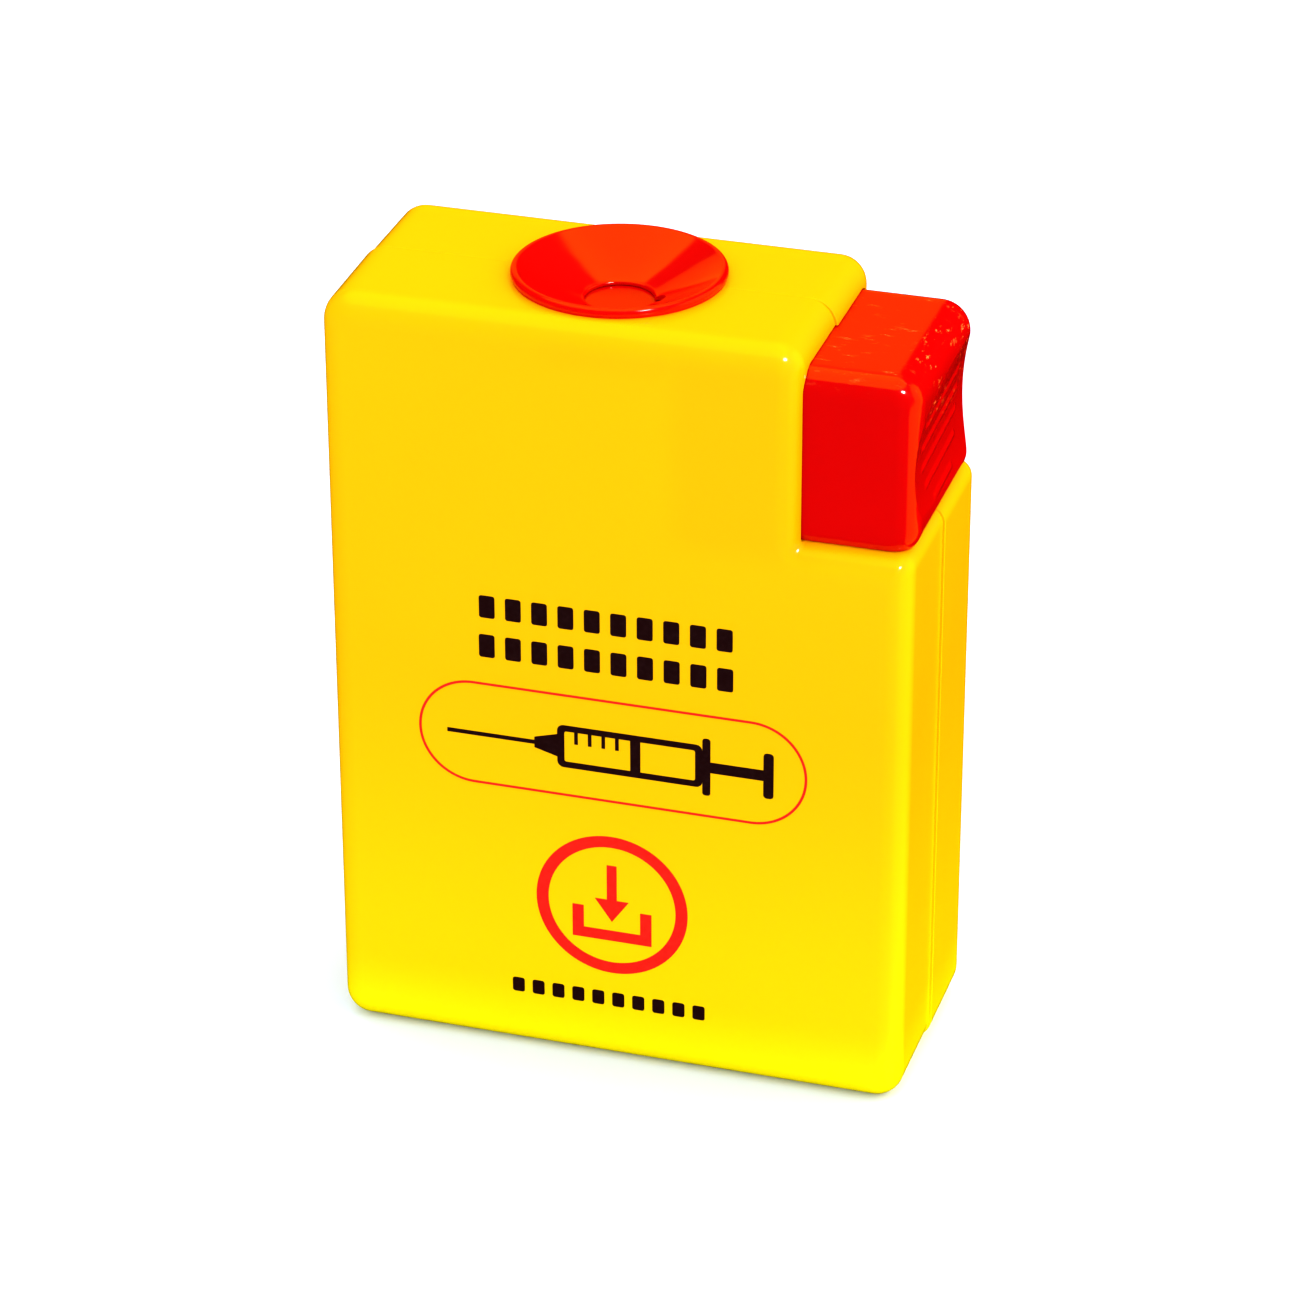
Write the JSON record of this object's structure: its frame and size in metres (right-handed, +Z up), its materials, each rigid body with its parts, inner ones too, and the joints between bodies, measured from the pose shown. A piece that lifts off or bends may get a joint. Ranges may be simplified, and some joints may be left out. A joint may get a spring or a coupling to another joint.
{
  "type": "sharps container",
  "caption": "Flat pocket sharps box with a dished funnel inlet on top and a sprung push button at one upper corner that opens a sliding shutter under the funnel.",
  "frame": {"origin": "middle of the underside, on the surface that the box stands on", "axes": "+Z up towards the funnel, +X towards the push button, and the printed front faces -Y"},
  "size_m": [0.0804, 0.0346, 0.1113],
  "materials": {
    "case": "glossy, slightly translucent yellow",
    "funnel": "glossy red",
    "button": "glossy red, lightly scuffed on top",
    "shutter": "glossy red",
    "tray": "satin yellow",
    "spring": "drawn spring wire",
    "ink_dark": "printed ink",
    "ink_red": "printed ink"
  },
  "bodies": {
    "root": {"front_shell": "case", "back_shell": "case", "funnel": "funnel", "slide_tray": "tray", "return_spring": "spring"},
    "slide": {"push_button": "button", "shutter": "shutter"}
  },
  "joints": [
    {"name": "button_slide", "type": "slide", "parent": "root", "child": "slide", "axis": [-1, 0, 0], "range_m": [0, 0.014], "stiffness_N_per_m": 590, "springref_m": -0.0048, "deforming": ["return_spring"]}
  ]
}
